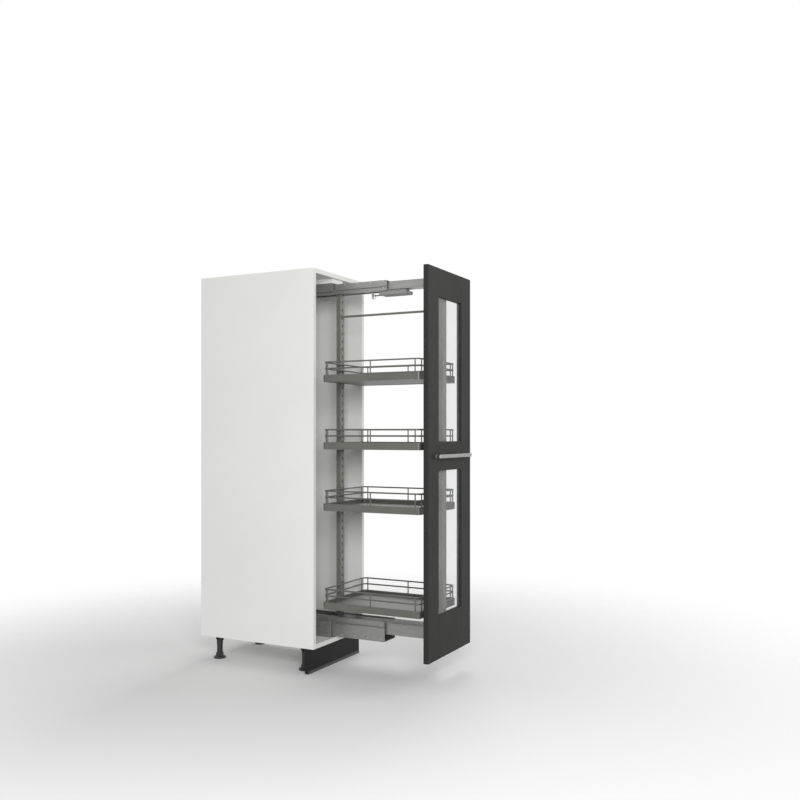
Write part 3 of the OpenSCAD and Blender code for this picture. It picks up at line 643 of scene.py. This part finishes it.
# Handle. A flat bar of brushed stainless steel on two round feet with thin rosettes,
# across the middle rail and screwed on from behind it.
brushed, shader, place = finish_named("brushed_steel")
line = place.stretched(4, 260, 260).noise(14, 4.0)
feed(shader, Base_Color=line.shade((0.24, 0.24, 0.232), (0.35, 0.35, 0.338)), Metallic=1.0,
     Roughness=line.between(0.24, 0.4), Normal=line.bump(0.0001, 0.25))
dressed("handle", "pull_out", brushed, "handle_steel", edge=1.6, least=7.0)
ROSETTE_RADIUS, ROSETTE_THICK = 8, 2
handle_back = corners("handle")[1].y
rosettes = []
for low, high in solids("handle_screws"):
    middle = (low + high) / 2
    rosettes.append(rod((middle.x, handle_back - ROSETTE_THICK, middle.z),
                        (middle.x, handle_back, middle.z), ROSETTE_RADIUS, edge=0.8))
settled(joined("handle_rosettes", brushed, *rosettes), "pull_out", "handle_steel")

# Baskets. Each has a folded sheet rim with round corners, two wire rails on short
# uprights above it, a hook at each end for the clips and a board floor laid in the rim.
basket_paint, shader, place = finish_named("basket_paint")
speck = place.noise(1500, 2.0)
tone = place.noise(9, 3.0)
feed(shader, Base_Color=tone.shade((0.115, 0.115, 0.102), (0.140, 0.140, 0.125)),
     Roughness=speck.between(0.34, 0.5), Metallic=0.25, Normal=speck.bump(0.0001, 0.25))
floor_grey, shader, place = finish_named("floor_melamine")
print_grain = place.stretched(200, 12, 1).noise(5, 5.0)
feed(shader, Base_Color=print_grain.shade((0.22, 0.22, 0.21), (0.29, 0.29, 0.28)),
     Roughness=print_grain.between(0.4, 0.56), Normal=print_grain.bump(0.0002, 0.2))
SHEET = 1.5
RIM_HIGH, LEDGE, TOP_FLAT, TURNED_DOWN = 28, 12, 8, 4
CORNER, WIRE_CORNER = 10, 18
WIRE_RADIUS, WIRE_INSET = 3, 4
LOW_WIRE, HIGH_WIRE = 53, 78
UPRIGHT_RADIUS, UPRIGHT_CLEAR = 2.5, 22
WELD_RADIUS, WELD_LOW, WELD_HIGH = 3.6, 27.5, 29.5
HOOK_ROOT, HOOK_REACH, HOOK_LOW, HOOK_HIGH = 1, 6.5, 20, 23
LEG_START, LEG_REACH, LEG_LOW, LEG_HIGH, LEG_NARROW = 4, 6.4, 11, 22, 0.2
FLOOR_LOW, FLOOR_THICK, FLOOR_CLEAR, FLOOR_CORNER = 1.6, 7.9, 2, 9
rim_low, rim_high = corners("basket_1_rim")
basket_y = (rim_low.y + rim_high.y) / 2
half_wide = rim_high.x
half_long = rim_high.y - basket_y - HOOK_REACH
hook_half = corners("shelf_clips")[1].x
leg_half = hook_half - LEG_NARROW
base = rim_low.z


def round_plate(inset, z, corner):
    """A flat face with round corners, set in from the baskets' plan, in millimetres."""
    bpy.ops.object.select_all(action="DESELECT")
    bpy.ops.mesh.primitive_plane_add(size=2)
    made = bpy.context.object
    bpy.ops.transform.resize(value=((half_wide - inset) * MM, (half_long - inset) * MM, 1))
    bpy.ops.transform.translate(value=(0, basket_y * MM, z * MM))
    bpy.ops.object.transform_apply(location=True, rotation=True, scale=True)
    bpy.ops.object.mode_set(mode="EDIT")
    bpy.ops.mesh.select_all(action="SELECT")
    bpy.ops.mesh.bevel(offset=corner * MM, segments=6, affect="VERTICES")
    bpy.ops.mesh.select_all(action="SELECT")
    return made


def carry_up(rise):
    """Extrudes what is selected straight up by millimetres."""
    bpy.ops.mesh.extrude_region_move(TRANSFORM_OT_translate={"value": (0, 0, rise * MM)})


def carry_out(inset, new_inset):
    """Extrudes the selected loop level, from one inset from the baskets' plan to another."""
    carry_up(0)
    wider, longer = ((half - new_inset) / (half - inset) for half in (half_wide, half_long))
    bpy.ops.transform.resize(value=(wider, longer, 1), center_override=(0, basket_y * MM, 0))


def folded_rim():
    """The rim's sheet: a ledge under the floor, the wall, a flat top and a short lip turned down."""
    made = round_plate(LEDGE, base + SHEET / 2, CORNER)
    bpy.ops.mesh.delete(type="ONLY_FACE")
    bpy.ops.mesh.select_all(action="SELECT")
    carry_out(LEDGE, SHEET / 2)
    carry_up(RIM_HIGH - SHEET)
    carry_out(SHEET / 2, TOP_FLAT)
    carry_up(-TURNED_DOWN)
    bpy.ops.mesh.select_all(action="SELECT")
    bpy.ops.mesh.normals_make_consistent(inside=False)
    bpy.ops.object.mode_set(mode="OBJECT")
    bpy.ops.object.modifier_add(type="SOLIDIFY")
    wall = made.modifiers["Solidify"]
    wall.thickness = SHEET * MM
    wall.offset = 0
    wall.use_even_offset = True
    bpy.ops.object.modifier_apply(modifier="Solidify")
    return rounded(made, 0.4)


def wire_rail(height):
    """A closed wire with bent corners, level round the basket."""
    round_plate(WIRE_INSET, base + height, WIRE_CORNER)
    bpy.ops.mesh.delete(type="ONLY_FACE")
    bpy.ops.object.mode_set(mode="OBJECT")
    bpy.ops.object.convert(target="CURVE")
    wire = bpy.context.object.data
    wire.bevel_depth = WIRE_RADIUS * MM
    wire.bevel_resolution = 3
    bpy.ops.object.convert(target="MESH")
    bpy.ops.object.shade_smooth()
    return bpy.context.object


parts = [folded_rim(), wire_rail(LOW_WIRE), wire_rail(HIGH_WIRE)]
upright = joined("upright", basket_paint,
                 turned(base + RIM_HIGH - SHEET, base + HIGH_WIRE, UPRIGHT_RADIUS, sides=16),
                 turned(base + WELD_LOW, base + WELD_HIGH, WELD_RADIUS, edge=0.8, sides=16))
side_x, side_y = half_wide - WIRE_INSET, half_long - UPRIGHT_CLEAR
end_x, end_y = half_wide - UPRIGHT_CLEAR, half_long - WIRE_INSET
stations = [(x, y) for x in (-side_x, side_x) for y in (-side_y, 0, side_y)]
stations += [(x, y) for x in (-end_x, end_x) for y in (-end_y, end_y)]
parts += [copied(upright, "upright", (x, basket_y + y, 0)) for x, y in stations]
bpy.data.objects.remove(upright)
for end in (-1, 1):
    edge_y = basket_y + end * half_long
    near, far = sorted((edge_y - end * HOOK_ROOT, edge_y + end * HOOK_REACH))
    parts.append(block((-hook_half, near, base + HOOK_LOW), (hook_half, far, base + HOOK_HIGH)))
    near, far = sorted((edge_y + end * LEG_START, edge_y + end * LEG_REACH))
    parts.append(block((-leg_half, near, base + LEG_LOW), (leg_half, far, base + LEG_HIGH)))
first_rail = joined("basket_rail", basket_paint, *parts)
plate = round_plate(FLOOR_CLEAR, base + FLOOR_LOW, FLOOR_CORNER)
carry_up(FLOOR_THICK)
bpy.ops.mesh.select_all(action="SELECT")
bpy.ops.mesh.normals_make_consistent(inside=False)
bpy.ops.object.mode_set(mode="OBJECT")
first_tray = joined("basket_tray", floor_grey, rounded(plate, 0.5))
for number in (1, 2, 3, 4):
    body = "basket_%d" % number
    lift = (0, 0, corners(body + "_rim")[0].z - base)
    settled(copied(first_rail, body + "_rail", lift), body, "frame_paint", body + "_rim")
    settled(copied(first_tray, body + "_tray", lift), body, "basket_floor", body + "_floor")
for first in (first_rail, first_tray):
    bpy.data.objects.remove(first)

low, high = cad_box
